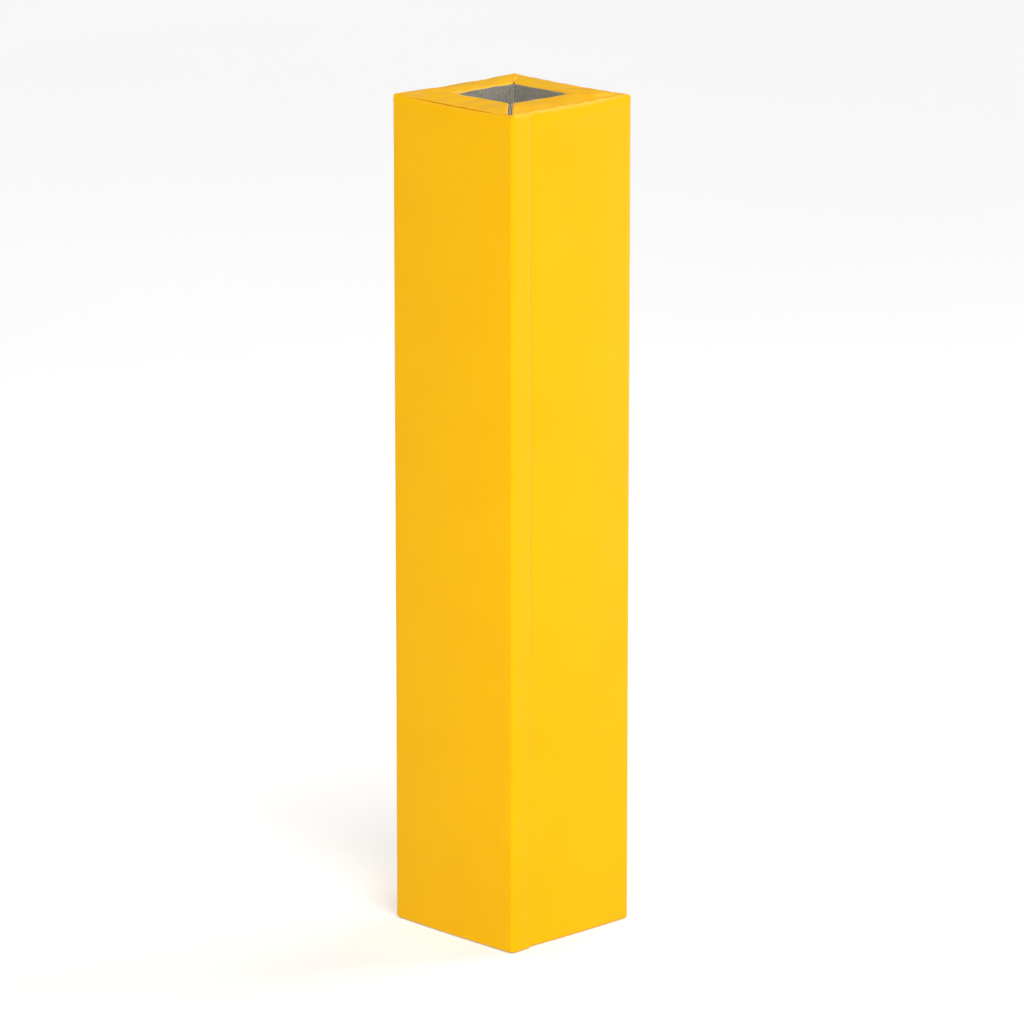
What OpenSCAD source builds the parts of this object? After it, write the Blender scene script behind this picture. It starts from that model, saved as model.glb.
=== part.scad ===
// Soft column protector: four foam boards in a sewn cover of coated fabric.
// It wraps a square column, opens at one corner and closes there with a flap on hook-and-loop tape.
// Origin: centre of the column passage, on the floor. +Z up, +X right face, -Y front face.
// The corner that opens is the one at +X, -Y.

/* [Column] */
// Width of the square column that the protector wraps
column_w = 90; // [60:1:200]
// Room between the column and the lining, on each side
column_clearance = 1; // [0.5:0.5:5]

/* [Protector] */
// Height of the cover
height = 1000; // [400:10:1500]
// Thickness of the foam boards
foam_t = 50; // [30:1:80]
// Radius of the cover's upright corners
corner_r = 5; // [3:0.5:10]

/* [Fabric] */
// Thickness of the coated fabric of the cover
cover_t = 1; // [0.6:0.1:2]
// Thickness of the woven lining
lining_t = 1.5; // [0.8:0.1:3]
// How far the lining's cut edge stands above the top
lining_proud = 0.8; // [0.2:0.1:2]

/* [Rims and seams] */
// Width of the puffed rim, from the side face to the top seam
rim_w = 4; // [3:0.5:7]
// Height over which the rim rounds off
rim_h = 16; // [10:1:24]
// Radius of the folded edge around the bottom
bottom_r = 2.5; // [2.5:0.5:6]
// Width of the crease along the top seam
crease_w = 0.8; // [0.4:0.1:1.5]
// Depth of the crease along the top seam
crease_depth = 0.4; // [0.2:0.1:0.5]
// Width of the bottom hem, from the side face to the bottom seam
bottom_hem = 12; // [8:1:20]

/* [Opening corner] */
// Gap between the two mitre faces
slit_w = 4; // [2:0.5:8]
// Width of the closing flap, from the corner to its edge
flap_w = 30; // [25:1:45]
// How far the flap's ends stop short of the top and the bottom
flap_margin = 2; // [1.5:0.5:6]
// Thickness of each hook-and-loop tape
tape_t = 1; // [0.6:0.1:2]
// Distance from the flap's edge to its tape
tape_inset = 3; // [1:0.5:6]
// Width of the tapes
tape_w = 18; // [10:1:19]
// Distance from the tapes' ends to the top and the bottom
tape_margin = 30; // [25:1:60]

/* [Relief slits] */
// Length of the short cut at each of the other inner corners
relief_l = 10; // [5:1:20]
// Width of that cut
relief_w = 0.8; // [0.4:0.1:1.5]

/* [Hidden] */

$fn = 96;
// Spare length of a cutting shape past what it cuts
over = 5;

// Half widths, from the axis out: passage, foam, outside, top seam
passage_half = column_w / 2 + column_clearance;
foam_in_half = passage_half + lining_t;
outer_half = foam_in_half + foam_t + cover_t;
seam_half = outer_half - rim_w;
// Centre of an upright corner's arc, the same along X and Y
corner_c = outer_half - corner_r;
// Radius of the rim's arc, and how far from the axis its centre lies
rim_r = (rim_h * rim_h + rim_w * rim_w) / (2 * rim_w);
rim_x = outer_half - rim_r;
foam_top = height - cover_t;
// Half of the gap in the foam at the corner that opens
mitre_half = slit_w / 2 + lining_t;
// How far the flap's outside stands off the right face
flap_step = 2 * tape_t + cover_t;
// Side of the tapes' band that is nearer the corner, along Y
tape_y = -outer_half + flap_w - tape_inset - tape_w;

yellow = [1, 0.76, 0.02];
grey = [0.45, 0.45, 0.46];
black = [0.12, 0.12, 0.12];
foam_cream = [0.86, 0.84, 0.76];

// Plan of the body, lying inset inside the cover's outside
module body_plan(inset) {
    half = outer_half - inset;
    square([2 * half, 2 * corner_c], center = true);
    square([2 * corner_c, 2 * half], center = true);
    for (x = [-1, 1], y = [-1, 1])
        translate([x * corner_c, y * corner_c]) circle(corner_r - inset);
}

// Side view of the body: a long arc to each rim and a small fold at the bottom
module side_view(inset, top = height) {
    half = outer_half - inset;
    fold = bottom_r - inset;
    rim_z = top - rim_h;
    middle = outer_half - 2 * rim_w;
    translate([-half, bottom_r]) square([2 * half, rim_z - bottom_r]);
    translate([fold - half, inset]) square([2 * (half - fold), bottom_r - inset]);
    translate([-middle, rim_z]) square([2 * middle, rim_h - inset]);
    for (side = [0, 1])
        mirror([side, 0]) {
            translate([half - fold, bottom_r]) circle(fold);
            intersection() {
                translate([rim_x, rim_z]) circle(rim_r - inset);
                translate([middle, rim_z]) square([half - middle, rim_h - inset]);
            }
        }
}

// Side view drawn out along X, with its outline across Y
module side_prism(inset, top = height) {
    rotate([90, 0, 90]) linear_extrude(2 * (outer_half + over), center = true) side_view(inset, top);
}

// Upright body with its rims, lying inset inside the cover's outside
module soft_body(inset, top = height) {
    intersection() {
        linear_extrude(top) body_plan(inset);
        side_prism(inset, top);
        rotate(90) side_prism(inset, top);
    }
}

// Wall of the cover, before it is cut into its panels
module cover_wall() {
    difference() {
        soft_body(0);
        soft_body(cover_t);
    }
}

// Upright square block around the axis
module square_block(half, low, high) {
    translate([-half, -half, low]) cube([2 * half, 2 * half, high - low]);
}

// Upright strip along the diagonal of the corner that opens, half_w to each side of it
module corner_strip(half_w) {
    rotate(-45) translate([0, -half_w, -over])
        cube([sqrt(2) * outer_half + over, 2 * half_w, height + 2 * over]);
}

// Crease pressed in along the top seam
module seam_crease() {
    difference() {
        square_block(seam_half + crease_w / 2, height - crease_depth, height + over);
        square_block(seam_half - crease_w / 2, height - crease_depth - over, height + 2 * over);
    }
}

// Short diagonal cuts from the other three inner corners
module relief_cuts() {
    for (turn = [45, 135, 225])
        rotate(turn) translate([foam_in_half * sqrt(2) - over, -relief_w / 2, height - over])
            cube([relief_l + over, relief_w, 2 * over]);
}

// Block around the corner that opens, as wide as the flap
module flap_block(low, high) {
    translate([corner_c, -outer_half - over, low])
        cube([corner_r + flap_step + over, flap_w + over, high - low]);
}

// Flap around the opening corner and over the edge of the right face
module closing_flap() {
    intersection() {
        translate([flap_step, 0, 0]) cover_wall();
        flap_block(flap_margin, height - flap_margin);
    }
}

// What lies outside the cover's inner surface, behind the flap
module flap_back_cut() {
    difference() {
        flap_block(-over, height + over);
        intersection() {
            side_prism(cover_t);
            translate([flap_step, 0, 0]) linear_extrude(height) body_plan(cover_t);
        }
    }
}

module outer_wrap() {
    color(yellow) {
        difference() {
            cover_wall();
            square_block(seam_half, foam_top, height + over);
            seam_crease();
            square_block(outer_half - bottom_hem, -over, bottom_r);
            corner_strip(mitre_half);
        }
        closing_flap();
    }
}

module top_panel() {
    color(yellow) difference() {
        square_block(seam_half, foam_top, height);
        seam_crease();
        square_block(foam_in_half, foam_top - over, height + over);
        corner_strip(mitre_half);
        relief_cuts();
    }
}

module bottom_panel() {
    color(yellow) difference() {
        square_block(outer_half - bottom_hem, 0, cover_t);
        square_block(foam_in_half, -over, over);
        corner_strip(mitre_half);
    }
}

// Four inner walls and the two mitre faces, as one folded sheet
module inner_lining() {
    color(grey) difference() {
        union() {
            square_block(foam_in_half, 0, height + lining_proud);
            difference() {
                intersection() {
                    corner_strip(mitre_half);
                    soft_body(0, height + lining_proud);
                }
                flap_back_cut();
            }
        }
        square_block(passage_half, -over, height + over);
        corner_strip(slit_w / 2);
    }
}

// One side's foam board, mitred at both ends. turn 0 is the front
module foam_board(turn) {
    reach = outer_half + over;
    color(foam_cream) difference() {
        intersection() {
            soft_body(cover_t);
            rotate(turn) linear_extrude(height) polygon([[0, 0], [-reach, -reach], [reach, -reach]]);
        }
        square_block(foam_in_half, -over, height + over);
        corner_strip(mitre_half);
    }
}

module front_foam_board() { foam_board(0); }
module right_foam_board() { foam_board(90); }
module back_foam_board() { foam_board(180); }
module left_foam_board() { foam_board(270); }

// Tape on the right face, standing off it by offset_x
module tape(offset_x) {
    color(black) translate([outer_half + offset_x, tape_y, tape_margin])
        cube([tape_t, tape_w, height - 2 * tape_margin]);
}

// Sewn on the inside of the flap
module hook_tape() { tape(tape_t); }
// Sewn on the right face, under the flap
module loop_tape() { tape(0); }

outer_wrap();
top_panel();
bottom_panel();
inner_lining();
front_foam_board();
right_foam_board();
back_foam_board();
left_foam_board();
hook_tape();
loop_tape();
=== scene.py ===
"""Looks of the soft column protector: coated yellow cover, woven grey lining, foam and tapes.

Lengths are in millimetres until a mesh is made from them in metres. The corner that opens is at
+X -Y. Sides are numbered anticlockwise from above: 0 right, 1 back, 2 left, 3 front.
"""

import math

import bpy
import numpy as np
from mathutils import Euler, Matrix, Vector


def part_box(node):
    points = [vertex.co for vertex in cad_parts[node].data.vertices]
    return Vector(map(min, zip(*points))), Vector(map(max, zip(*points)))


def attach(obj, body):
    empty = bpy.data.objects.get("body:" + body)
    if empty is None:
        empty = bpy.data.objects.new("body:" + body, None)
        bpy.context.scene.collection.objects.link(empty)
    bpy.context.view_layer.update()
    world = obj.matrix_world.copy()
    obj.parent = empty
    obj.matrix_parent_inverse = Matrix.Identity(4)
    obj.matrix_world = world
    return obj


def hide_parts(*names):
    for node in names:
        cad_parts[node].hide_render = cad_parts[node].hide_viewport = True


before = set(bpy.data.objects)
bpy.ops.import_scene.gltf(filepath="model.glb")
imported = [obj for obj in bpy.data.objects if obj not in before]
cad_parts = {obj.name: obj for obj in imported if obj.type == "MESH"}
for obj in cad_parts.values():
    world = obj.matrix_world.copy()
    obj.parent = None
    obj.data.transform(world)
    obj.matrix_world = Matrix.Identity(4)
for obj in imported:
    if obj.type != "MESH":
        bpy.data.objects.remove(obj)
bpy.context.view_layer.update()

# Millimetres in a metre
MM = 1000.0

# Sizes from the solids
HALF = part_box("outer_wrap")[1].y * MM
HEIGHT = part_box("top_panel")[1].z * MM
FOAM_IN = -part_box("front_foam_board")[1].y * MM
HEM_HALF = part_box("bottom_panel")[1].x * MM
COVER_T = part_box("bottom_panel")[1].z * MM
LINING_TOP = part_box("inner_lining")[1].z * MM
TAPE_LOW, TAPE_HIGH = (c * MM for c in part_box("loop_tape"))

# Lining: its thickness, and how far its visible side lies from the foam
LINING_T = 0.9
LINING_OFF = 1.5
# Half of the gap between the two mitre faces, and half of the cover's opening around them
SLIT_HALF = 0.8
MITRE_HALF = SLIT_HALF + LINING_T + 0.2
# Thickness of the tapes, the flap's free edge, its lower end and the distance of its rows there
TAPE_T = 0.7
FLAP_EDGE = TAPE_HIGH.y + 3.0
FLAP_LOW = 0.8
FLAP_ROW = 0.25
# Gap between the edges of two sheets that are sewn together
SEAM_GAP = 0.06

# How far a side stands out at its middle, and the radii of the corners and the bottom fold
CROWN = 1.8
CORNER_R = 5.0
NEAR_R = 4.0
BOTTOM_R = 2.5
# How far the flap stands off the right face at its fold, and how it leans towards its free edge
FLAP_LIFT = 4.4
FLAP_TILT = math.radians(2.0)
# Width and height of the puffed rim and height of its seam, each at a corner and at mid-side
RIM_W = (1.5, 5.2)
RIM_H = (4.0, 15.0)
SEAM_Z = (0.0, -1.2)
# How far round the rim turns before it meets the seam
RIM_TURN = math.radians(80)
# How much wider and higher the rim is where free is 1, and how much less it turns there
FLAP_RIM_WIDER = 2.3
FLAP_RIM_HIGHER = 0.9
FLAP_RIM_LESS = math.radians(10)
# Height below the top at which the wall's rows start to follow the rim
RIM_ZONE = 46.0
# Depth of the groove along the top seam
GROOVE = 0.35

# Top and bottom sheets: the opening's edge, and what the slit takes off the end of a side
PANEL_INNER = FOAM_IN + 0.25
PANEL_SLIT = MITRE_HALF * math.sqrt(2) + 0.3
# Width between seam and opening on which the rows of the top are set out
RING_W = 46.0
# Relief slits at the other three corners of the opening: length, and half of how far they gape
RELIEF_L = 10.0
RELIEF_OPEN = 0.9
RELIEF_CORNERS = ((1, 1), (-1, 1), (-1, -1))

# Cloth simulation of the top: share of spare cloth, steps, the most that a point may move along an
# axis, and its coarse grid
SPARE_CLOTH = 0.004
SETTLE_FRAMES = 25
SETTLE_MOST = 2.5
SETTLE_ROWS = 16
SETTLE_COLUMNS = 44

# Columns of the grids: along a side of the cover, round its corners and over its flap, and along a
# side of the top and of the bottom
SIDE_COLUMNS = 66
ARC_COLUMNS = 9
FLAP_COLUMNS = 18
TOP_COLUMNS = 120
BOTTOM_COLUMNS = 44

# Edges sharper than this are shaded as edges
SHARP = math.radians(50)

# Two tones of the cover and the top, and of the bottom, which is a little darker
YELLOWS = ((0.95, 0.5, 0.002), (0.93, 0.475, 0.0015))
BOTTOM_YELLOWS = ((0.94, 0.49, 0.002), (0.92, 0.465, 0.0015))

# The photograph's point of view. The distance is in heights of the protector
VIEW_AZIMUTH = 46.17
VIEW_ELEVATION = 14.13
VIEW_DISTANCE = 7.445
VIEW_LENS = 222

BOARD_NODES = ("right_foam_board", "back_foam_board", "left_foam_board", "front_foam_board")


def smooth(x):
    """Eases from 0 to 1 while x goes from 0 to 1."""
    x = np.clip(x, 0, 1)
    return x * x * (3 - 2 * x)


def mix(pair, t):
    """From the pair's first value to its second while t goes from 0 to 1."""
    return pair[0] + (pair[1] - pair[0]) * t


def hump(distance, width):
    """1 at no distance, falling off to nothing over about twice the width."""
    return np.exp(-((distance / width) ** 2))


def waves(a, b, scale, seed):
    """Even, repeatable unevenness of about -1 to 1 over a surface, in waves about scale long."""
    count = 9
    rng = np.random.default_rng(seed)
    total = 0
    for _ in range(count):
        turn, phase = rng.uniform(0, 2 * math.pi, 2)
        k = 2 * math.pi / (scale * rng.uniform(0.7, 1.7))
        total = total + np.sin(k * (a * math.cos(turn) + b * math.sin(turn)) + phase)
    return total / math.sqrt(count) / 1.3


def turned(x, y, side):
    """Points drawn on the right side, turned to a side."""
    for _ in range(side):
        x, y = -y, x
    return x, y


# Side sheet


def face_out(u):
    """How far out a side stands, at u from -1 to 1 along it."""
    return HALF + CROWN * (1 - u * u)


def face_tilt(u):
    """Angle by which a side's outward direction has turned at u."""
    return 2 * CROWN * u / HALF


def corner_start(r):
    """u where a side meets a corner of radius r, the corner's centre, and the side's tilt there."""
    low, high = 0.8, 1.0
    for _ in range(40):
        u = (low + high) / 2
        tilt = face_tilt(u)
        cx = face_out(u) - r * math.cos(tilt)
        cy = HALF * u - r * math.sin(tilt)
        low, high = (u, high) if cy < cx else (low, u)
    return u, cx, tilt


class Path:
    """The cover's plan, once round from the slit to the flap's edge, as arrays over its columns.

    x and y are the plan and nx and ny its outward direction. m falls from 1 at mid-side to 0 at a
    corner. free is 0 where the sheet is sewn and folded under and 1 where it is shaped as the flap,
    which by a known fault takes in the front side, see front(). s is the length along the sheet.
    """

    def __init__(self):
        self.columns = []
        u_end, c, tilt = corner_start(CORNER_R)
        u_near, c_near, tilt_near = corner_start(NEAR_R)
        slit_u = (HALF - MITRE_HALF * math.sqrt(2)) / HALF
        self.side(0, -slit_u, u_end)
        self.corner(0, c, tilt, 1 - u_end**2)
        for side in (1, 2):
            self.side(side, -u_end, u_end)
            self.corner(side, c, tilt, 1 - u_end**2)
        self.front(-u_end, u_near, slit_u)
        self.near_corner(c_near, tilt_near, 1 - u_near**2)
        self.flap()
        self.x, self.y, self.nx, self.ny, self.m, self.free = np.array(self.columns, float).T
        step = np.hypot(np.diff(self.x), np.diff(self.y))
        self.s = np.concatenate([[0], np.cumsum(step)])

    def add(self, *column):
        self.columns.append(column)

    def side(self, side, first, last):
        for u in np.linspace(first, last, SIDE_COLUMNS):
            x, y = turned(face_out(u), HALF * u, side)
            nx, ny = turned(math.cos(face_tilt(u)), math.sin(face_tilt(u)), side)
            self.add(x, y, nx, ny, 1 - u * u, 0)

    def front(self, first, last, slit_u):
        """The front side, drawn out towards the fold of the flap.

        Known fault: free was meant to rise from 0 only past the slit. With this narrow slit, last is
        less than slit_u, and free comes out as 1 along the whole side. So the side has the flap's
        rim and no hem.
        """
        for u in np.linspace(first, last, SIDE_COLUMNS):
            x, y = turned(face_out(u), HALF * u, 3)
            nx, ny = turned(math.cos(face_tilt(u)), math.sin(face_tilt(u)), 3)
            x += FLAP_LIFT * smooth(u / last)
            self.add(x, y, nx, ny, 1 - u * u, smooth((u - slit_u) / (last - slit_u)))

    def corner(self, side, c, tilt, m_end):
        for f in np.linspace(0, 1, ARC_COLUMNS + 2)[1:-1]:
            a = tilt + f * (math.pi / 2 - 2 * tilt)
            x, y = turned(c + CORNER_R * math.cos(a), c + CORNER_R * math.sin(a), side)
            nx, ny = turned(math.cos(a), math.sin(a), side)
            self.add(x, y, nx, ny, m_end * (2 * f - 1) ** 2, 0)

    def near_corner(self, c, tilt, m_end):
        """The flap's fold round the corner that opens."""
        start = -math.pi / 2 + tilt
        for f in np.linspace(0, 1, ARC_COLUMNS + 5)[1:]:
            a = start + f * (FLAP_TILT - start)
            x = c + FLAP_LIFT + NEAR_R * math.cos(a)
            y = -c + NEAR_R * math.sin(a)
            self.add(x, y, math.cos(a), math.sin(a), m_end * (2 * f - 1) ** 2, 1)

    def flap(self):
        """The flap from its fold to its free edge, which is pressed down a little more."""
        x0, y0 = self.columns[-1][:2]
        for f in np.linspace(0, 1, FLAP_COLUMNS + 1)[1:]:
            y = y0 + (FLAP_EDGE - y0) * f
            press = 0.35 * smooth((f - 0.8) / 0.2)
            x = x0 - (y - y0) * math.tan(FLAP_TILT) - press
            self.add(x, y, math.cos(FLAP_TILT), math.sin(FLAP_TILT), 1 - (y / HALF) ** 2, 1)


def rim_size(m):
    """Width and height of the puffed rim and height of its seam, where m is 1 at mid-side."""
    t = np.power(np.clip(m, 0, 1), 0.7)
    return mix(RIM_W, t), mix(RIM_H, t), HEIGHT + mix(SEAM_Z, t)


def hem_rows(one):
    """Rows of the hem, from the bottom seam round the fold to the wall."""
    hem = HALF - HEM_HALF
    rows = [(one * (hem - (hem - BOTTOM_R) * f), one * 0.0) for f in np.linspace(0, 1, 4)]
    for a in np.linspace(0, math.pi / 2, 7)[1:]:
        rows.append((one * BOTTOM_R * (1 - math.sin(a)), one * BOTTOM_R * (1 - math.cos(a))))
    return rows


def wall_rows(one, rim_start):
    """Rows of the wall. The upper ones rise and fall with the start of the rim."""
    start = HEIGHT - RIM_ZONE
    rows = [(one * 0.0, one * z) for z in np.linspace(BOTTOM_R, start, 88)[1:]]
    for f in np.linspace(0, 1, 15)[1:]:
        rows.append((one * 0.0, start + (rim_start - start) * f))
    return rows


def rim_rows(p, width, rise, rim_start):
    """Rows of the puffed rim and of the edge that dips into the groove of the top seam."""
    last = RIM_TURN - FLAP_RIM_LESS * p.free
    rows = []
    for f in np.linspace(0, 1, 14)[1:]:
        a = f * last
        inset = width * (1 - np.cos(a)) / (1 - math.cos(RIM_TURN))
        rows.append((inset, rim_start + rise * np.sin(a)))
    sewn = 1 - p.free
    for step_in, share in ((0.3, 0.35), (0.15, 0.65)):
        inset, z = rows[-1]
        rows.append((inset + step_in * sewn, z - share * GROOVE * sewn - 0.1 * p.free))
    return rows


def wrap_rows(p):
    """Inset and height of each row of the cover, from the bottom seam to the top seam.

    Where free is 1 there is no hem: its rows lie close together at the sheet's lower end.
    """
    width, rise, top = rim_size(p.m)
    width = width + FLAP_RIM_WIDER * p.free
    rim_start = top + FLAP_RIM_HIGHER * p.free - rise
    one = np.ones_like(p.m)
    hem = hem_rows(one)
    rows = hem + wall_rows(one, rim_start) + rim_rows(p, width, rise, rim_start)
    inset = np.array([row[0] for row in rows])
    z = np.array([row[1] for row in rows])
    first_of_wall = len(hem)
    for j in range(first_of_wall):
        inset[j] *= 1 - p.free
        z[j] = z[j] * (1 - p.free) + (FLAP_LOW + FLAP_ROW * j) * p.free
    lowest = (FLAP_LOW + FLAP_ROW * first_of_wall) * p.free
    z[first_of_wall] = np.maximum(z[first_of_wall], lowest)
    return inset, z


def wall_swell(s, z, m):
    """How far the cover's wall stands proud of its plan.

    A puffed rim with a hollow under it, corners that flare at the top, a fuller foot, and a faint
    waviness all over.
    """
    below = HEIGHT - z
    uneven = 1 + 0.45 * waves(s, 0 * s, 55, 3)
    puff = 0.9 * m * uneven * hump(below - 13, 9)
    hollow = -0.35 * m * hump(below - 42, 16)
    flare = 0.3 * (1 - m) ** 6 * hump(below, 10)
    foot = 0.4 * m * hump(z - 14, 10)
    slow = 0.22 * waves(s, z, 190, 5) + 0.05 * waves(s, z, 45, 6)
    return puff + hollow + flare + foot + slow * smooth(z / 20) * (0.3 + 0.7 * m)


def wrap_surface(p):
    """Grid of points of the cover's outside, which swells less where free is 1."""
    inset, z = wrap_rows(p)
    swell = wall_swell(p.s[None, :], z, p.m[None, :])
    swell *= 1 - 0.6 * p.free[None, :]
    shrink = 1 - inset / HALF
    x = p.x * shrink + p.nx * swell
    y = p.y * shrink + p.ny * swell
    return np.stack([x, y, z], axis=-1)


# Sheets and meshes


def grid_quads(rows, cols, flip=False):
    """Quads of a grid of points that are listed row by row. flip turns their faces over."""
    i, j = np.meshgrid(np.arange(cols - 1), np.arange(rows - 1))
    a = (j * cols + i).ravel()
    quads = np.stack([a, a + 1, a + cols + 1, a + cols], axis=1)
    return quads[:, ::-1] if flip else quads


def units(vectors):
    """Vectors brought to length 1."""
    return vectors / np.maximum(np.linalg.norm(vectors, axis=1, keepdims=True), 1e-9)


def vertex_normals(verts, quads):
    """Outward direction at each point, from the quads around it."""
    a, b, c, d = (verts[quads[:, k]] for k in range(4))
    n = np.cross(c - a, d - b)
    total = np.zeros_like(verts)
    for k in range(4):
        np.add.at(total, quads[:, k], n)
    return units(total)


def border(quads, count):
    """Edges that only one quad has, as pairs of point numbers below count."""
    edges = np.concatenate([quads[:, [k, (k + 1) % 4]] for k in range(4)])
    key = edges[:, 0].astype(np.int64) * count + edges[:, 1]
    other = edges[:, 1].astype(np.int64) * count + edges[:, 0]
    return edges[~np.isin(key, other)]


def thicken(verts, quads, uv, thickness):
    """A closed sheet from its visible side, with rounded cut edges.

    Returns points, quads, uv and which quads are cut edges.
    """
    n = len(verts)
    normals = vertex_normals(verts, quads)
    back = verts - normals * thickness
    a, b = border(quads, n).T
    out = units(np.cross(verts[b] - verts[a], normals[a]))
    push = np.zeros_like(verts)
    np.add.at(push, a, out)
    np.add.at(push, b, out)
    on_rim = np.unique(np.concatenate([a, b]))
    middle = (verts[on_rim] + back[on_rim]) / 2 + units(push[on_rim]) * 0.22 * thickness
    place = np.zeros(n, np.int64)
    place[on_rim] = 2 * n + np.arange(len(on_rim))
    upper = np.stack([a, place[a], place[b], b], axis=1)
    lower = np.stack([place[a], a + n, b + n, place[b]], axis=1)
    points = np.concatenate([verts, back, middle])
    faces = np.concatenate([quads, quads[:, ::-1] + n, upper, lower])
    cut = np.zeros(len(faces), bool)
    cut[2 * len(quads):] = True
    return points, faces, np.concatenate([uv, uv, uv[on_rim]]), cut


def add_to_scene(name, data):
    obj = bpy.data.objects.new(name, data)
    bpy.context.scene.collection.objects.link(obj)
    return obj


def smooth_shading(mesh):
    mesh.polygons.foreach_set("use_smooth", np.ones(len(mesh.polygons), bool))
    mesh.set_sharp_from_angle(angle=SHARP)


def to_object(name, points, faces, uv, materials, cut=None):
    """An object from quads. The faces in cut take the second material."""
    mesh = bpy.data.meshes.new(name)
    mesh.vertices.add(len(points))
    mesh.vertices.foreach_set("co", (points / MM).astype(np.float32).ravel())
    mesh.loops.add(faces.size)
    mesh.loops.foreach_set("vertex_index", faces.astype(np.int32).ravel())
    mesh.polygons.add(len(faces))
    mesh.polygons.foreach_set("loop_start", np.arange(0, faces.size, 4, dtype=np.int32))
    mesh.polygons.foreach_set("loop_total", np.full(len(faces), 4, np.int32))
    for m in materials:
        mesh.materials.append(m)
    if cut is not None:
        mesh.polygons.foreach_set("material_index", cut.astype(np.int32))
    mesh.update(calc_edges=True)
    layer = mesh.uv_layers.new(name="fabric")
    layer.data.foreach_set("uv", (uv[faces.ravel()] / MM).astype(np.float32).ravel())
    mesh.validate()
    smooth_shading(mesh)
    return add_to_scene(name, mesh)


def wear(obj, node):
    """The piece moves with the root body and stands for its solid, which is hidden."""
    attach(obj, "root")
    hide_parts(node)


def lengths(points):
    """Length so far at each point of a line."""
    return np.concatenate([[0], np.cumsum(np.linalg.norm(np.diff(points, axis=0), axis=1))])


def make_wrap(path, grid, material):
    """The side sheet. Its flat height is taken on a column near the middle of the right side."""
    rows, cols = grid.shape[:2]
    middle_of_right = cols // 8
    t = lengths(grid[:, middle_of_right])
    uv = np.stack(np.meshgrid(path.s, t), axis=-1).reshape(-1, 2)
    points, faces, uv, _ = thicken(grid.reshape(-1, 3), grid_quads(rows, cols), uv, COVER_T)
    obj = to_object("outer_wrap_cloth", points, faces, uv, [material])
    wear(obj, "outer_wrap")


# Top and bottom sheets


class Seam:
    """A seam's line for each side, as distance out and height over the direction t = along / out."""

    def __init__(self, path, line):
        self.sides = []
        for side in range(4):
            back = (4 - side) % 4
            x, y = turned(line[:, 0], line[:, 1], back)
            pick = (x > 0) & (np.abs(y) <= x * 1.0001) & (path.free < 1e-6)
            t, out, z = y[pick] / x[pick], x[pick], line[pick, 2]
            order = np.argsort(t)
            self.sides.append((t[order], out[order], z[order]))

    def at(self, side, t):
        ts, out, z = self.sides[side]
        return np.interp(t, ts, out), np.interp(t, ts, z)


def side_columns(side, per_side):
    """Fractions along a side, closer together at its ends.

    The first one is left out where the side before ends in the same column.
    """
    f = np.linspace(0, 1, per_side)
    f = f - 0.03 * np.sin(2 * math.pi * f)
    return f if side == 0 else f[1:]


def panel_direction(side, f, out):
    """t = along / out for a column, where the slit takes its part off two of the ends."""
    low = -1 + (PANEL_SLIT / out if side == 0 else 0 * out)
    high = 1 - (PANEL_SLIT / out if side == 3 else 0 * out)
    return low + (high - low) * f


def slit_distance(side, t, rho):
    """How far a point is from the slit, and far more on the two sides that it doesn't touch."""
    if side == 0:
        return (t * rho + rho - PANEL_SLIT) / math.sqrt(2)
    if side == 3:
        return (rho - PANEL_SLIT - t * rho) / math.sqrt(2)
    return np.full_like(rho, 1e3)


def panel_grid(seam, per_side, row_at):
    """Plan of the top or the bottom between its seam and the opening.

    Returns x and y, and what the heights are made from: the distances from seam and opening, t, the
    seam's height and the distance from the slit.
    """
    sides = []
    for side in range(4):
        f = side_columns(side, per_side)
        out = np.full_like(f, HALF)
        for _ in range(4):
            out, z = seam.at(side, panel_direction(side, f, out))
        out = out - SEAM_GAP
        rho = out[None, :] + (PANEL_INNER - out[None, :]) * row_at[:, None]
        t = panel_direction(side, f[None, :], rho)
        x, y = turned(rho, rho * t, side)
        from_seam, from_edge = out[None, :] - rho, rho - PANEL_INNER
        z_seam = np.broadcast_to(z, rho.shape)
        sides.append((x, y, from_seam, from_edge, t, z_seam, slit_distance(side, t, rho)))
    return tuple(np.concatenate(parts, axis=1) for parts in zip(*sides))


def pinch(x, y, corner, seed):
    """Creases that fan out from the tip of a relief slit, with a dimple there and a swell around."""
    rng = np.random.default_rng(seed)
    dx, dy = x - corner[0], y - corner[1]
    r = np.hypot(dx, dy)
    home = math.atan2(corner[1], corner[0])
    angle = (np.arctan2(dy, dx) - home + math.pi) % (2 * math.pi) - math.pi
    total = 0
    for turn, depth, reach in ((-1.25, 0.7, 16), (-0.45, 1.5, 24), (0.35, 1.3, 20), (1.15, 0.9, 17)):
        turn += rng.uniform(-0.12, 0.12)
        wide = 0.19 + 0.9 / (r + 3)
        total = total - depth * hump(angle - turn, wide) * np.exp(-r / reach)
    dimple = -1.1 * hump(r, 5)
    swell = 0.7 * hump(r - 16, 9) * (0.6 + 0.4 * np.cos(3 * angle))
    return total * smooth(r / 3) + dimple + swell


def top_dome(x, y, corner):
    """The top's soft dome between seam and opening, a little higher where corner comes near 1."""
    edge = HALF - 3.5
    round_out = (np.abs(x) ** 7 + np.abs(y) ** 7) ** (1 / 7)
    fall = np.clip((edge - round_out) / (edge - FOAM_IN), 0, 1)
    return (2.3 + 0.8 * corner) * np.sin(math.pi * fall) ** 0.8


def seam_lip(from_seam, t, corner):
    """The roll of cloth beside the seam, drawn in a little by each stitch of the seam inside."""
    lip_at = 1.7 + 2.3 * corner
    lip = 0.55 * hump(from_seam - lip_at, 1.2) + 0.2 * hump(from_seam - lip_at - 3, 2.2)
    half_line, pitch = 98, 4.2
    stitches = 0.1 * np.sin(2 * math.pi * t * half_line / pitch) * hump(from_seam - 1.2, 1.1)
    return lip + stitches


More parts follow.
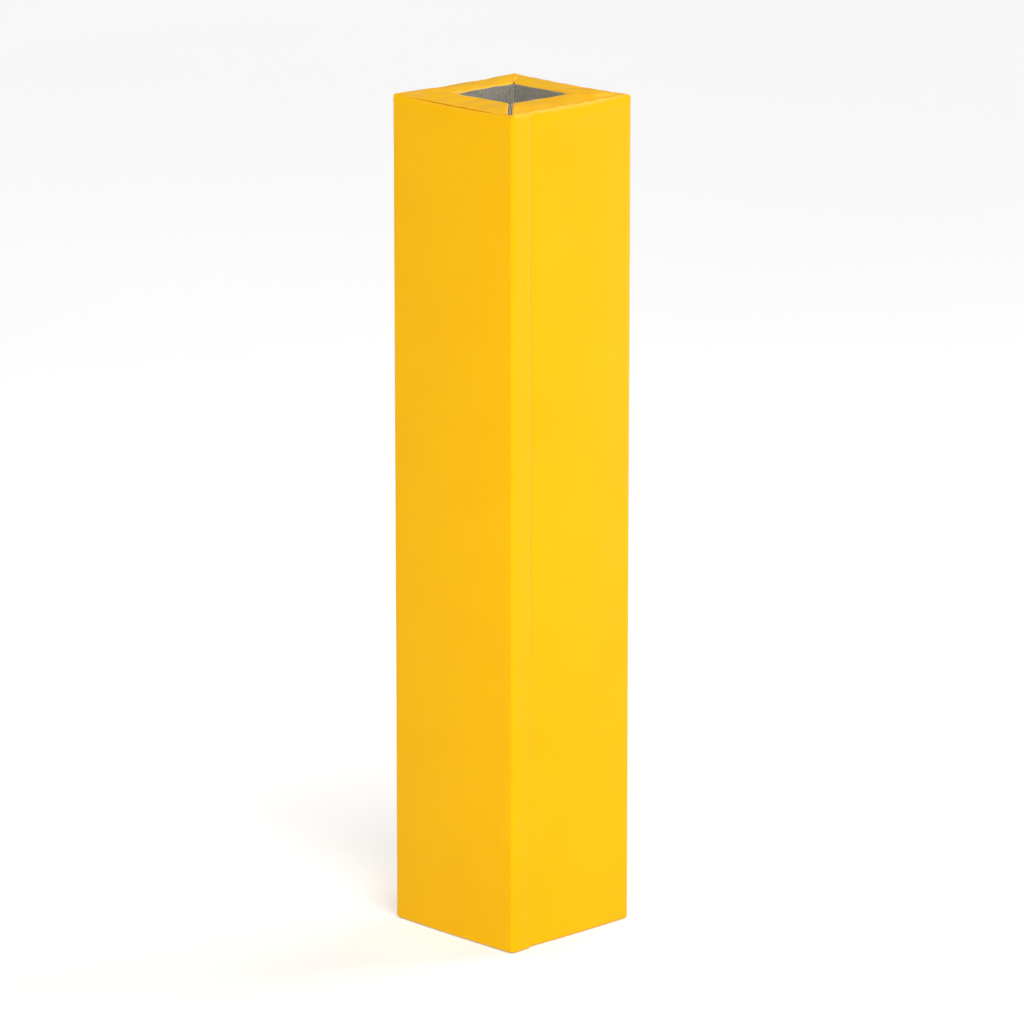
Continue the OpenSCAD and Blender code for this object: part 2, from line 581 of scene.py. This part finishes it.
def top_heights(x, y, from_seam, from_edge, t, z_seam, from_slit):
    """Heights of the top: groove, lip along the seam, dome, wrinkles and turned-in edges."""
    corner = np.abs(t) ** 6
    plane = HEIGHT + 0.1
    z = z_seam + (plane - z_seam) * (1 - np.exp(-from_seam / 6))
    z += top_dome(x, y, corner) * smooth(from_seam / 16) + seam_lip(from_seam, t, corner)
    z += GROOVE * (1 - np.exp(-from_seam / 0.8))
    loose = smooth(from_seam / 8) * smooth(from_edge / 6)
    z += loose * (0.42 * waves(x, y, 60, 11) + 0.12 * waves(x, y, 22, 12))
    tip = FOAM_IN + RELIEF_L * 0.7
    for k, (sx, sy) in enumerate(RELIEF_CORNERS):
        z += pinch(x, y, (sx * tip, sy * tip), 20 + k) * smooth(from_seam / 10)
    turn = 2.1
    z -= turn * np.clip(1 - from_edge / 3.2, 0, 1) ** 2
    z -= turn * np.clip(1 - from_slit / 2.8, 0, 1) ** 2 * smooth(from_seam / 2)
    return z


def relief_gap(x, y):
    """How far each side of a relief slit stands off its middle, near the diagonal it lies on."""
    reach = (np.abs(x) + np.abs(y)) / math.sqrt(2) - FOAM_IN * math.sqrt(2)
    return RELIEF_OPEN * np.clip(1 - np.maximum(reach, 0) / RELIEF_L, 0, 1) ** 1.3


def open_reliefs(x, y):
    """Pushes the cloth beside the relief slits apart, less and less with the distance from them."""
    for sx, sy in RELIEF_CORNERS:
        near = (x * sx > 0) & (y * sy > 0)
        off = (x * -sy + y * sx) / math.sqrt(2)
        push = np.sign(np.round(off, 6)) * relief_gap(x, y) * np.exp(-np.abs(off) / 7)
        move = np.where(near, push, 0) / math.sqrt(2)
        x = x - sy * move
        y = y + sx * move
    return x, y


def double_columns(x, y, z, cuts, slit_rows):
    """Points of a grid and their numbers by row and column, with a twin beside each column in cuts.

    A twin has points of its own from row slit_rows on.
    """
    rows, cols = x.shape
    base = np.arange(rows * cols).reshape(rows, cols)
    columns, extra = [], []
    for c in range(cols):
        columns.append(base[:, c].copy())
        if c in cuts:
            twin = base[:, c].copy()
            twin[slit_rows:] = rows * cols + len(extra) + np.arange(rows - slit_rows)
            extra += [(x[r, c], y[r, c], z[r, c]) for r in range(slit_rows, rows)]
            columns.append(twin)
    points = np.concatenate([np.stack([x, y, z], axis=-1).reshape(-1, 3), np.array(extra)])
    return points, np.stack(columns, axis=1)


def open_slit(points, ids, way):
    """Moves one edge of a relief slit off the slit's middle and turns it down."""
    p = points[ids]
    along = np.stack([-p[:, 1], p[:, 0]], axis=1) / np.hypot(p[:, 0], p[:, 1])[:, None]
    gap = relief_gap(p[:, 0], p[:, 1])
    points[ids, :2] += way * along * gap[:, None]
    points[ids, 2] -= 0.9 * np.clip(gap / 0.8, 0, 1)


def split_columns(x, y, z, slit_rows):
    """Points and quads of the top, slit on three diagonals from row slit_rows to the opening."""
    cuts = [(k + 1) * (TOP_COLUMNS - 1) for k in range(3)]
    points, index = double_columns(x, y, z, cuts, slit_rows)
    slits = [c + k for k, c in enumerate(cuts)]
    for slit in slits:
        open_slit(points, index[slit_rows:, slit], -1)
        open_slit(points, index[slit_rows:, slit + 1], 1)
    quads = np.stack([index[:-1, :-1], index[:-1, 1:], index[1:, 1:], index[1:, :-1]], axis=-1)
    return points, np.delete(quads, slits, axis=1).reshape(-1, 4)


def top_rows():
    """Row positions from the seam, 0, to the opening, 1, close together at both."""
    start = np.array([0, 0.3, 0.6, 1.0, 1.5, 2.0, 2.6, 3.3, 4.1, 5.0]) / RING_W
    middle = np.linspace(6.2, 42.0, 22) / RING_W
    end = 1 - np.array([3.2, 2.6, 2.0, 1.5, 1.0, 0.6, 0.3, 0]) / RING_W
    return np.concatenate([start, middle, end])


def round_mitre_corner(x, y):
    """Draws the front side's corner at the slit back a little, so that it is rounded."""
    slit = MITRE_HALF * math.sqrt(2)
    far = np.hypot(x - (FOAM_IN - slit), y + FOAM_IN)
    pull = 1.5 * hump(far, 5) * (y < 0) * (x < -y)
    way = math.radians(22.5)
    return x - pull * math.sin(way), y - pull * math.cos(way)


def set_up_cloth(cloth):
    """Weightless cloth, a little larger than the outline that holds it, under a light pressure."""
    cloth.point_cache.frame_end = SETTLE_FRAMES
    values = cloth.settings
    values.quality = 8
    values.mass = 0.2
    values.tension_stiffness = 60
    values.compression_stiffness = 60
    values.shear_stiffness = 30
    values.bending_stiffness = 60
    values.tension_damping = 15
    values.compression_damping = 15
    values.vertex_group_mass = "held"
    values.shrink_min = -SPARE_CLOTH
    values.use_pressure = True
    values.uniform_pressure_force = 0.5
    values.effector_weights.gravity = 0


def settled(points, quads, held):
    """The points of a sheet after it has come to rest as simulated cloth, held at some of them."""
    scene = bpy.context.scene
    mesh = bpy.data.meshes.new("settling")
    mesh.from_pydata([tuple(p / MM) for p in points], [], [tuple(map(int, q)) for q in quads])
    obj = add_to_scene("settling", mesh)
    obj.vertex_groups.new(name="held").add([int(v) for v in held], 1.0, "REPLACE")
    set_up_cloth(obj.modifiers.new("cloth", "CLOTH"))
    for number in range(1, SETTLE_FRAMES + 1):
        scene.frame_set(number)
    shape = obj.evaluated_get(bpy.context.evaluated_depsgraph_get()).data
    flat = np.zeros(len(points) * 3, np.float32)
    shape.vertices.foreach_get("co", flat)
    bpy.data.objects.remove(obj)
    bpy.data.meshes.remove(mesh)
    scene.frame_set(1)
    return flat.reshape(-1, 3) * MM


def column_places(per_side):
    """Where the columns of the top lie, counted in sides from 0 to 4."""
    return np.concatenate([side_columns(side, per_side) + side for side in range(4)])


def settle_moves(seam, row_at):
    """How far each point of the top's grid moves as the cloth settles, worked out on a coarser grid."""
    few_rows = np.linspace(0, 1, SETTLE_ROWS)
    x, y, *rest = panel_grid(seam, SETTLE_COLUMNS, few_rows)
    points = np.stack([x, y, top_heights(x, y, *rest)], axis=-1).reshape(-1, 3)
    number = np.arange(x.size).reshape(x.shape)
    held = np.unique(np.concatenate([number[0], number[-1], number[:, 0], number[:, -1]]))
    move = settled(points, grid_quads(*x.shape), held) - points
    move = np.clip(move, -SETTLE_MOST, SETTLE_MOST).reshape(*x.shape, 3)
    places, few_places = column_places(TOP_COLUMNS), column_places(SETTLE_COLUMNS)
    wide = np.array([[np.interp(places, few_places, row[:, k]) for row in move] for k in range(3)])
    moves = []
    for part in wide:
        moves.append(np.stack([np.interp(row_at, few_rows, column) for column in part.T], axis=1))
    return moves


def make_top(seam, material):
    """The top sheet, settled by the simulation and then opened at its slits."""
    rows = top_rows()
    x, y, *rest = panel_grid(seam, TOP_COLUMNS, rows)
    z = top_heights(x, y, *rest)
    dx, dy, dz = settle_moves(seam, rows)
    x, y, z = x + dx, y + dy, z + dz
    x, y = open_reliefs(x, y)
    x, y = round_mitre_corner(x, y)
    slit_rows = int(np.argmax(rows > 1 - RELIEF_L / math.sqrt(2) / RING_W))
    points, quads = split_columns(x, y, z, slit_rows)
    points, faces, uv, _ = thicken(points, quads, points[:, :2].copy(), COVER_T)
    obj = to_object("top_panel_cloth", points, faces, uv, [material])
    wear(obj, "top_panel")


def make_bottom(seam, material):
    """The bottom sheet, flat inside the hem."""
    spans = ((0, 0.08, 5), (0.12, 0.92, 14), (0.94, 1, 4))
    rows = np.concatenate([np.linspace(*span) for span in spans])
    x, y, from_seam, from_edge, *_ = panel_grid(seam, BOTTOM_COLUMNS, rows)
    z = 0.25 * np.exp(-from_seam / 0.8) + 0.5 * np.clip(1 - from_edge / 2.5, 0, 1) ** 2
    z += 0.12 * (1.6 + waves(x, y, 50, 31)) * smooth(from_seam / 8) * smooth(from_edge / 8)
    points = np.stack([x, y, z], axis=-1).reshape(-1, 3)
    quads = grid_quads(*x.shape, flip=True)
    points, faces, uv, _ = thicken(points, quads, points[:, :2].copy(), COVER_T * 0.9)
    obj = to_object("bottom_panel_cloth", points, faces, uv, [material])
    wear(obj, "bottom_panel")


# Lining


def fillet(corner, before, after, r):
    """Points of an arc of radius r where two straight runs meet."""
    a = (before - corner) / np.linalg.norm(before - corner)
    b = (after - corner) / np.linalg.norm(after - corner)
    half = math.acos(np.clip(a @ b, -1, 1)) / 2
    reach = r / math.tan(half)
    centre = corner + (a + b) / np.linalg.norm(a + b) * r / math.sin(half)
    p, q = corner + a * reach - centre, corner + b * reach - centre
    turn = math.atan2(p[0] * q[1] - p[1] * q[0], p @ q)
    angles = math.atan2(p[1], p[0]) + turn * np.linspace(0, 1, 5)
    return [centre + r * np.array([math.cos(v), math.sin(v)]) for v in angles]


def lining_path():
    """Plan of the lining's visible side, from the front mitre round to the right mitre."""
    inside = FOAM_IN - LINING_OFF
    lean = SLIT_HALF * math.sqrt(2)
    end = HALF - 2.6
    front_end = (end - lean / 2, -end - lean / 2)
    right_end = (end + lean / 2, -end + lean / 2)
    front_mitre, right_mitre = (inside - lean, -inside), (inside, -inside + lean)
    passage = [(-inside, -inside), (-inside, inside), (inside, inside)]
    corners = [front_end, front_mitre, *passage, right_mitre, right_end]
    corners = [np.array(c, float) for c in corners]
    radii = (7.0, 2.6, 2.6, 2.6, 1.2)
    line = [corners[0]]
    for k, r in enumerate(radii, 1):
        line += fillet(corners[k], corners[k - 1], corners[k + 1], r)
    line.append(corners[-1])
    longest_step = 3.0
    dense = [line[0]]
    for p, q in zip(line, line[1:]):
        n = max(1, int(np.linalg.norm(q - p) / longest_step))
        dense += [p + (q - p) * k / n for k in range(1, n + 1)]
    return np.array(dense)


def relief_pull(plan):
    """How much the lining's top is drawn into the relief slit at each point of its plan, 0 to 1."""
    reach = (np.abs(plan[:, 0]) + np.abs(plan[:, 1])) / math.sqrt(2)
    corner = hump(reach - (FOAM_IN - LINING_OFF) * math.sqrt(2), 2.5)
    opening = (plan[:, 0] > 0) & (plan[:, 1] < 0)
    return np.where(opening, 0, corner)


def lining_surface(plan, s, up):
    """Grid of points of the lining's visible side, loose and wavy near the top.

    up holds the rows' heights as shares of the lining's own height, which varies along it. rho
    grows along both mitres, so what depends on it differs between the passage and the mitres.
    """
    run = np.gradient(plan, axis=0)
    run /= np.linalg.norm(run, axis=1, keepdims=True)
    normal = np.stack([run[:, 1], -run[:, 0]], axis=1)
    rho = np.max(np.abs(plan), axis=1)
    on_mitre = smooth((rho - FOAM_IN) / 6)
    top = LINING_TOP - 0.9 + 0.3 * waves(s, 0 * s, 40, 41) + 0.15 * waves(s, 0 * s, 13, 42)
    top = top - 0.6 * smooth((rho - 48) / 5) - 0.6 * smooth((rho - 84) / 12)
    z = up[:, None] * top[None, :]
    below = HEIGHT - z
    free = smooth((rho - 44) / 3) * (1 - on_mitre) + 0.35 * on_mitre
    flutter = 0.55 * waves(s[None, :], z, 42, 43) * np.exp(-below / 14) * (1 - on_mitre)[None, :]
    slack = 0.3 * waves(s[None, :], z, 120, 44) * smooth(below / 60) * smooth(z / 60)
    bow = 0.5 * np.sin(math.pi * np.clip((rho - FOAM_IN) / 50, 0, 1))[None, :] * np.exp(-below / 25)
    move = (flutter + slack) * free[None, :] + bow
    drawn_in = 2.6 * smooth((rho - 80) / 16) - 1.5 * relief_pull(plan)
    shrink = 1 - np.exp(-below / 7) * drawn_in[None, :] / HALF
    x = (plan[None, :, 0] + normal[None, :, 0] * move) * shrink
    y = (plan[None, :, 1] + normal[None, :, 1] * move) * shrink
    return np.stack([x, y, z], axis=-1)


def make_lining(material, edge_material):
    """The lining. Its cut edge shows the threads' ends near the top only."""
    plan = lining_path()
    s = lengths(plan)
    wall, wavy_top = np.linspace(0.4, HEIGHT - 30, 50), np.linspace(HEIGHT - 28, HEIGHT, 15)
    up = np.concatenate([wall, wavy_top]) / HEIGHT
    grid = lining_surface(plan, s, up)
    rows, cols = grid.shape[:2]
    uv = np.stack(np.meshgrid(s, up * HEIGHT), axis=-1).reshape(-1, 2)
    points, faces, uv, cut = thicken(grid.reshape(-1, 3), grid_quads(rows, cols), uv, LINING_T)
    high = points[faces][:, :, 2].mean(axis=1) > HEIGHT * 0.9
    obj = to_object("inner_lining_cloth", points, faces, uv, [material, edge_material], cut & high)
    wear(obj, "inner_lining")


# Foam boards and tapes


def board_ring(side, inset):
    """Outline of a foam board in plan, drawn in by inset."""
    gap = 0.35
    inner = FOAM_IN + 0.15
    slit = (MITRE_HALF + 0.2) * math.sqrt(2)
    first = slit if side == 0 else gap
    last = slit if side == 3 else gap
    outer = [(face_out(u) - COVER_T - 0.6, HALF * u) for u in np.linspace(-0.93, 0.93, 42)]
    outer = [(x, float(np.clip(y, first - x, x - last))) for x, y in outer]
    r_end = HALF - COVER_T - 1.4
    lower = [(r, first - r) for r in np.linspace(inner + 0.6, r_end - 4, 12)]
    upper = [(r, r - last) for r in np.linspace(r_end - 4, inner + 0.6, 12)]
    inside = [(inner, v) for v in np.linspace(inner - last - 0.8, first - inner + 0.8, 24)]
    ring = np.array(lower + outer + upper + inside)
    away = ring - ring.mean(axis=0)
    away /= np.linalg.norm(away, axis=1, keepdims=True)
    ring = ring - away * inset
    x, y = turned(ring[:, 0], ring[:, 1], side)
    return np.stack([x, y], axis=1)


def board_levels():
    """Inset and height of a board's rings: soft ends, and a top drawn in under the rim."""
    low, high, soft, drawn = 1.7, HEIGHT - 4.4, 3.0, 2.6
    neck = high - 30
    turn = np.linspace(0, math.pi / 2, 6)
    ends = [(soft * (1 - math.sin(a)), soft * (1 - math.cos(a))) for a in turn]
    levels = [(i, low + h) for i, h in ends]
    levels += [(0.0, z) for z in np.linspace(low + soft, neck, 40)[1:]]
    levels += [(drawn * smooth((z - neck) / 27), z) for z in np.linspace(neck, high - soft, 12)[1:]]
    levels += [(drawn + i, high - h) for i, h in ends[::-1]][1:]
    return levels


def make_board(side, node, material):
    """One foam board: a crowned, soft-edged block lofted from its plan."""
    rings = [np.insert(board_ring(side, inset), 2, z, axis=1) for inset, z in board_levels()]
    points = np.concatenate(rings)
    n = len(rings[0])
    faces = []
    for start in range(0, len(points) - n, n):
        for k in range(n):
            j = (k + 1) % n
            faces.append((start + k, start + j, start + n + j, start + n + k))
    last = len(points) - n
    caps = [tuple(range(n))[::-1], tuple(last + k for k in range(n))]
    mesh = bpy.data.meshes.new(node)
    mesh.from_pydata([tuple(p / MM) for p in points], [], faces + caps)
    mesh.materials.append(material)
    smooth_shading(mesh)
    obj = add_to_scene(node + "_pad", mesh)
    wear(obj, node)


def make_tape(node, offset, material):
    """One tape, following the swell of the right side, with its back offset from the cover."""
    y = np.linspace(TAPE_LOW.y, TAPE_HIGH.y, 13)
    z = np.linspace(TAPE_LOW.z, TAPE_HIGH.z, 95)
    yy, zz = np.meshgrid(y, z)
    xx = face_out(yy / HALF) + offset + TAPE_T + 0.02 * waves(yy, zz, 30, 51)
    points = np.stack([xx, yy, zz], axis=-1).reshape(-1, 3)
    uv = np.stack([yy, zz], axis=-1).reshape(-1, 2)
    points, faces, uv, _ = thicken(points, grid_quads(len(z), len(y)), uv, TAPE_T)
    obj = to_object(node + "_strip", points, faces, uv, [material])
    wear(obj, node)


# Materials


class Nodes:
    """Short hand for building a material's nodes, with lengths in metres and scales per metre."""

    def __init__(self, name):
        self.material = bpy.data.materials.new(name)
        self.material.use_nodes = True
        self.tree = self.material.node_tree
        self.shader = self.tree.nodes["Principled BSDF"]

    def link(self, a, b):
        self.tree.links.new(a, b)

    def vary(self, name, value):
        """The shader's socket of this name takes a value that varies over the surface."""
        self.link(value, self.shader.inputs[name])

    def same(self, name, value):
        """The shader's socket of this name takes one value all over."""
        self.shader.inputs[name].default_value = value

    def math(self, operation, a, b=None):
        """The result for a and b, each a number or another node's output."""
        node = self.tree.nodes.new("ShaderNodeMath")
        node.operation = operation
        for slot, value in enumerate((a, b)):
            if value is None:
                continue
            if isinstance(value, (int, float)):
                node.inputs[slot].default_value = value
            else:
                self.link(value, node.inputs[slot])
        return node.outputs[0]

    def texture(self, kind, scale):
        """A texture node laid out over the object."""
        where = self.tree.nodes.new("ShaderNodeTexCoord")
        node = self.tree.nodes.new(kind)
        node.inputs["Scale"].default_value = scale
        self.link(where.outputs["Object"], node.inputs["Vector"])
        return node

    def noise(self, scale, detail):
        node = self.texture("ShaderNodeTexNoise", scale)
        node.inputs["Detail"].default_value = detail
        return node.outputs["Fac"]

    def cells(self, scale):
        return self.texture("ShaderNodeTexVoronoi", scale).outputs["Distance"]

    def cloth_axes(self):
        """Position along and up the cloth, in metres."""
        uv = self.tree.nodes.new("ShaderNodeUVMap")
        uv.uv_map = "fabric"
        split = self.tree.nodes.new("ShaderNodeSeparateXYZ")
        self.link(uv.outputs[0], split.inputs[0])
        return split.outputs[0], split.outputs[1]

    def ripple(self, axis, pitch):
        return self.math("SINE", self.math("MULTIPLY", axis, 2 * math.pi / pitch))

    def span(self, value, low, high):
        """A value of about 0.3 to 0.7 brought to low to high."""
        node = self.tree.nodes.new("ShaderNodeMapRange")
        node.inputs["From Min"].default_value = 0.3
        node.inputs["From Max"].default_value = 0.7
        node.inputs["To Min"].default_value = low
        node.inputs["To Max"].default_value = high
        self.link(value, node.inputs["Value"])
        return node.outputs[0]

    def blend(self, value, a, b):
        """A colour between a and b for a value of about 0.3 to 0.7."""
        node = self.tree.nodes.new("ShaderNodeMix")
        node.data_type = "RGBA"
        self.link(self.span(value, 0, 1), node.inputs["Factor"])
        node.inputs["A"].default_value = (*a, 1)
        node.inputs["B"].default_value = (*b, 1)
        return node.outputs["Result"]

    def bump(self, height, distance, before=None):
        node = self.tree.nodes.new("ShaderNodeBump")
        node.inputs["Distance"].default_value = distance
        node.inputs["Strength"].default_value = 1.0
        self.link(height, node.inputs["Height"])
        if before is not None:
            self.link(before, node.inputs["Normal"])
        return node.outputs["Normal"]


def coated_fabric(name, tones):
    """Yellow coated fabric: a smooth skin that shows the weave of the cloth beneath it."""
    n = Nodes(name)
    along, up = n.cloth_axes()
    pitch = 0.0023
    weave = n.math("MULTIPLY", n.ripple(along, pitch), n.ripple(up, pitch))
    normal = n.bump(weave, 0.000013)
    normal = n.bump(n.noise(900, 2.0), 0.000012, normal)
    n.vary("Normal", n.bump(n.noise(28, 2.0), 0.0006, normal))
    n.vary("Base Color", n.blend(n.noise(9, 3.0), *tones))
    n.vary("Roughness", n.span(n.noise(22, 4.0), 0.29, 0.37))
    n.same("IOR", 1.32)
    n.same("Specular Tint", (1.0, 0.84, 0.1, 1))
    return n.material


def woven_lining():
    """Grey woven lining with upright ribs."""
    n = Nodes("lining_weave")
    along, up = n.cloth_axes()
    ribs = n.ripple(along, 0.0024)
    picks = n.ripple(up, 0.0012)
    threads = n.math("ADD", ribs, n.math("MULTIPLY", picks, 0.4))
    normal = n.bump(threads, 0.00012)
    n.vary("Normal", n.bump(n.noise(700, 3.0), 0.0001, normal))
    tone = n.math("ADD", n.math("MULTIPLY", ribs, 0.22), n.noise(400, 2.0))
    n.vary("Base Color", n.blend(tone, (0.29, 0.275, 0.225), (0.53, 0.5, 0.415)))
    n.vary("Roughness", n.span(n.noise(60, 2.0), 0.7, 0.85))
    n.same("Sheen Weight", 0.15)
    return n.material


def lining_cut_edge():
    """The lining's pale cut edge, with the ends of its threads."""
    n = Nodes("lining_cut_edge")
    n.vary("Base Color", n.blend(n.noise(1400, 3.0), (0.3, 0.29, 0.27), (0.5, 0.49, 0.46)))
    n.vary("Normal", n.bump(n.noise(1600, 3.0), 0.00015))
    n.vary("Roughness", n.span(n.noise(90, 2.0), 0.75, 0.9))
    return n.material


def foam():
    """Pale open foam with small pores."""
    n = Nodes("foam")
    n.vary("Normal", n.bump(n.cells(900), 0.0004))
    n.vary("Base Color", n.blend(n.noise(300, 3.0), (0.62, 0.58, 0.46), (0.74, 0.71, 0.6)))
    n.vary("Roughness", n.span(n.noise(50, 2.0), 0.85, 0.95))
    return n.material


def tape_pile(name, scale, depth):
    """Black hook or loop tape: a dense pile, finer for the loops."""
    n = Nodes(name)
    n.vary("Normal", n.bump(n.cells(scale), depth))
    n.vary("Base Color", n.blend(n.noise(600, 3.0), (0.012, 0.012, 0.013), (0.03, 0.03, 0.032)))
    n.vary("Roughness", n.span(n.noise(80, 2.0), 0.55, 0.75))
    n.same("Sheen Weight", 0.3)
    return n.material


# Studio, in metres


def direction(azimuth, elevation):
    """Unit vector towards a point round and up, in degrees. The front is at azimuth 0."""
    a, e = math.radians(azimuth), math.radians(elevation)
    return Vector((math.sin(a) * math.cos(e), -math.cos(a) * math.cos(e), math.sin(e)))


def place_facing(name, data, place, facing):
    obj = add_to_scene(name, data)
    obj.location = place
    obj.rotation_mode = "QUATERNION"
    obj.rotation_quaternion = facing
    return obj


def looking_back(back):
    """Rotation of a light or camera that stands in this direction and looks back the other way."""
    return (-back).to_track_quat("-Z", "Y")


def area_light(name, place, facing, size, power):
    """A softbox that the camera doesn't see. The second size lies upright, or away from the object."""
    data = bpy.data.lights.new(name, "AREA")
    data.shape = "RECTANGLE"
    data.size, data.size_y = size
    data.energy = power
    obj = place_facing(name, data, place, facing)
    obj.visible_camera = False


def middle():
    """The middle of the protector, where the camera and the softboxes look."""
    return Vector((0, 0, HEIGHT / MM / 2))


def softbox(name, azimuth, elevation, distance, size, power):
    back = direction(azimuth, elevation)
    area_light(name, middle() + back * distance, looking_back(back), size, power)


def floor_strip(name, azimuth, near, far, width, power):
    """A strip that lies on the floor in front and shows in the upright corner as a bright line."""
    away = direction(azimuth, 0)
    place = away * (near + far) / 2 + Vector((0, 0, 0.02))
    turn = away.to_track_quat("Y", "Z") @ Euler((math.pi, 0, 0)).to_quaternion()
    area_light(name, place, turn, (width, far - near), power)


def sun_light(name, azimuth, elevation, strength, spread):
    """Even light from one direction, softened by its spread in degrees."""
    data = bpy.data.lights.new(name, "SUN")
    data.energy = strength
    data.angle = math.radians(spread)
    place_facing(name, data, Vector(), looking_back(direction(azimuth, elevation)))


def floor():
    """A wide pale floor just under the protector. Glossy surfaces don't mirror it."""
    far = 40
    mesh = bpy.data.meshes.new("floor")
    corners = [(-far, -far, 0), (far, -far, 0), (far, far, 0), (-far, far, 0)]
    mesh.from_pydata(corners, [], [(0, 1, 2, 3)])
    n = Nodes("floor")
    n.vary("Base Color", n.blend(n.noise(0.8, 2.0), (0.84, 0.84, 0.84), (0.86, 0.86, 0.86)))
    n.same("Emission Color", (1, 1, 1, 1))
    n.same("Emission Strength", 0.17)
    n.same("Roughness", 0.9)
    n.same("Specular IOR Level", 0.1)
    mesh.materials.append(n.material)
    obj = add_to_scene("floor", mesh)
    obj.location.z = -0.0006
    obj.visible_glossy = False


def room():
    """Weak light from all round, and a backdrop as bright as the floor that only the camera sees."""
    world = bpy.data.worlds.new("studio")
    bpy.context.scene.world = world
    world.use_nodes = True
    nodes, link = world.node_tree.nodes, world.node_tree.links.new
    light_of_room = nodes["Background"]
    backdrop = nodes.new("ShaderNodeBackground")
    for node, strength in ((light_of_room, 0.18), (backdrop, 0.935)):
        node.inputs["Color"].default_value = (1, 1, 1, 1)
        node.inputs["Strength"].default_value = strength
    rays = nodes.new("ShaderNodeLightPath")
    pick = nodes.new("ShaderNodeMixShader")
    link(rays.outputs["Is Camera Ray"], pick.inputs[0])
    link(light_of_room.outputs[0], pick.inputs[1])
    link(backdrop.outputs[0], pick.inputs[2])
    link(pick.outputs[0], nodes["World Output"].inputs["Surface"])


def studio():
    """Broad soft light from the right front, with softboxes that grade the two faces in sight."""
    room()
    sun_light("broad_light", 56, 52, strength=2.2, spread=45)
    sun_light("left_fill", 270, 25, strength=0.6, spread=60)
    sun_light("back_fill", 180, 25, strength=0.65, spread=60)
    softbox("right_softbox", 152, 8, distance=1.6, size=(0.6, 1.8), power=6.5)
    softbox("low_softbox", 40, -8, distance=1.6, size=(0.6, 0.5), power=3.8)
    softbox("left_rim_light", -70, 47, distance=3.0, size=(2.0, 0.6), power=3)
    softbox("back_rim_light", 172, 47, distance=3.0, size=(2.0, 0.6), power=20)
    floor_strip("corner_strip", VIEW_AZIMUTH, near=1.2, far=4.4, width=0.3, power=20)
    bpy.context.scene.view_settings.view_transform = "Standard"


def camera():
    """The camera, where the photograph was taken from."""
    data = bpy.data.cameras.new("camera")
    data.sensor_width = 36
    data.lens = VIEW_LENS
    back = direction(VIEW_AZIMUTH, VIEW_ELEVATION)
    place = middle() + back * VIEW_DISTANCE * HEIGHT / MM
    bpy.context.scene.camera = place_facing("camera", data, place, looking_back(back))


foam_material = foam()
for side, node in enumerate(BOARD_NODES):
    make_board(side, node, foam_material)

path = Path()
wrap_grid = wrap_surface(path)
cover = coated_fabric("cover_fabric", YELLOWS)
top_cover = coated_fabric("top_fabric", YELLOWS)
bottom_cover = coated_fabric("bottom_fabric", BOTTOM_YELLOWS)
make_wrap(path, wrap_grid, cover)
make_top(Seam(path, wrap_grid[-1]), top_cover)
make_bottom(Seam(path, wrap_grid[0]), bottom_cover)
make_lining(woven_lining(), lining_cut_edge())
make_tape("loop_tape", 0.0, tape_pile("loop_pile", 2600, 0.0002))
make_tape("hook_tape", TAPE_T + 0.03, tape_pile("hook_pile", 900, 0.0005))

floor()
studio()
camera()
